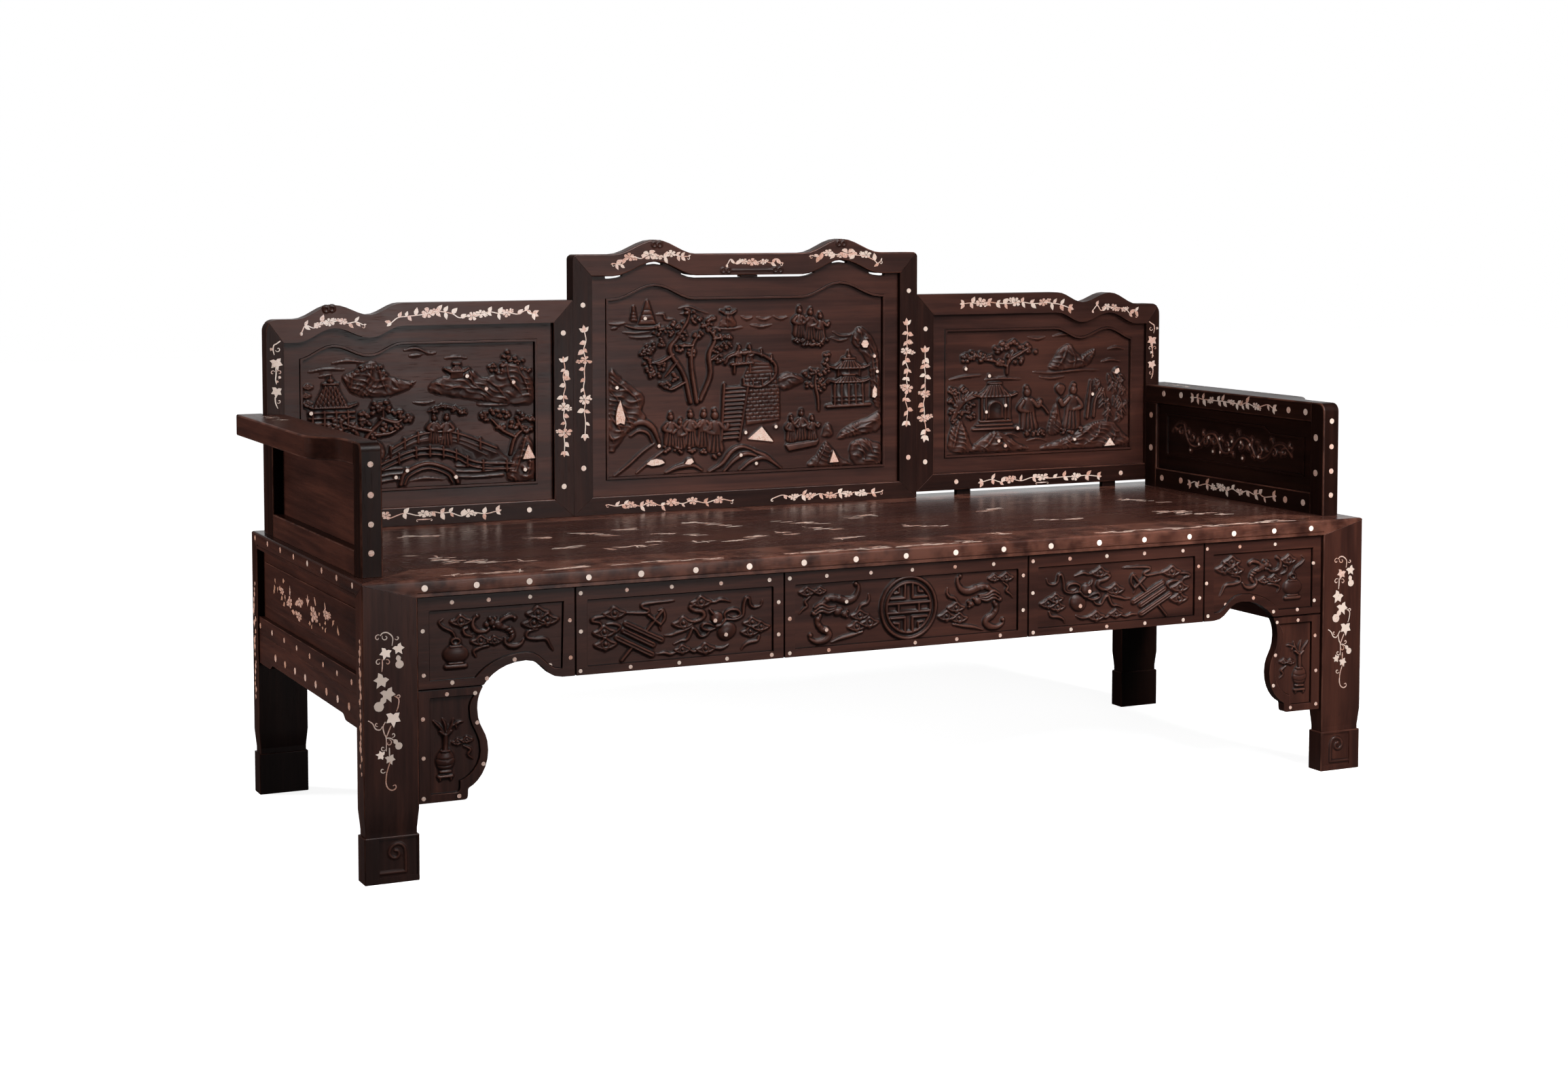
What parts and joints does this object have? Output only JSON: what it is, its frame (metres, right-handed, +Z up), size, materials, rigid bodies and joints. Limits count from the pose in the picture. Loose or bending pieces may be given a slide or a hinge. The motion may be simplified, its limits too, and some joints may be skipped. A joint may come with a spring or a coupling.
{
  "type": "inlaid bench",
  "caption": "Long dark rosewood bench with carved aprons, a stepped back of framed carved panels, framed arms with winged armrests and mother-of-pearl inlay.",
  "frame": {"origin": "on the floor, below the middle of the bench's bounding box", "axes": "+X along the bench to the sitter's left hand, +Y to the back, +Z up"},
  "size_m": [2.008, 0.72, 1.0065],
  "materials": {
    "rosewood": "satin polish",
    "pearl": "polished shell"
  },
  "bodies": {
    "base": {"apron_centre": "rosewood", "apron_inner_left": "rosewood", "apron_inner_right": "rosewood", "apron_outer_left": "rosewood", "apron_outer_right": "rosewood", "bracket_left": "rosewood", "bracket_right": "rosewood", "leg_front_left": "rosewood", "leg_front_right": "rosewood", "leg_rear_left": "rosewood", "leg_rear_right": "rosewood", "rear_apron": "rosewood", "seat_batten_centre": "rosewood", "seat_batten_left": "rosewood", "seat_batten_right": "rosewood", "seat_board": "rosewood", "seat_front_rail": "rosewood", "seat_left_rail": "rosewood", "seat_rear_rail": "rosewood", "seat_right_rail": "rosewood", "side_apron_left": "rosewood", "side_apron_right": "rosewood", "side_panel_left": "rosewood", "side_panel_right": "rosewood", "side_rail_left": "rosewood", "side_rail_right": "rosewood"},
    "back_centre": {"back_centre_bottom_rail": "rosewood", "back_centre_left_stile": "rosewood", "back_centre_panel": "rosewood", "back_centre_right_stile": "rosewood", "back_centre_spacer": "rosewood", "back_centre_top_rail": "rosewood"},
    "back_left": {"back_left_bottom_rail": "rosewood", "back_left_left_stile": "rosewood", "back_left_panel": "rosewood", "back_left_right_stile": "rosewood", "back_left_top_rail": "rosewood"},
    "back_right": {"back_right_bottom_rail": "rosewood", "back_right_left_stile": "rosewood", "back_right_panel": "rosewood", "back_right_right_stile": "rosewood", "back_right_top_rail": "rosewood"},
    "arm_left": {"arm_left_armrest": "rosewood", "arm_left_bottom_rail": "rosewood", "arm_left_front_post": "rosewood", "arm_left_panel": "rosewood", "arm_left_rear_post": "rosewood"},
    "arm_right": {"arm_right_armrest": "rosewood", "arm_right_bottom_rail": "rosewood", "arm_right_front_post": "rosewood", "arm_right_panel": "rosewood", "arm_right_rear_post": "rosewood"}
  },
  "joints": [
    {"name": "back_centre_lift", "type": "slide", "parent": "base", "child": "back_centre", "axis": [0, 0, 1], "range_m": [0, 0.03]},
    {"name": "back_left_lift", "type": "slide", "parent": "base", "child": "back_left", "axis": [0, 0, 1], "range_m": [0, 0.03]},
    {"name": "back_right_lift", "type": "slide", "parent": "base", "child": "back_right", "axis": [0, 0, 1], "range_m": [0, 0.03]},
    {"name": "arm_left_lift", "type": "slide", "parent": "base", "child": "arm_left", "axis": [0, 0, 1], "range_m": [0, 0.03]},
    {"name": "arm_right_lift", "type": "slide", "parent": "base", "child": "arm_right", "axis": [0, 0, 1], "range_m": [0, 0.03]}
  ]
}
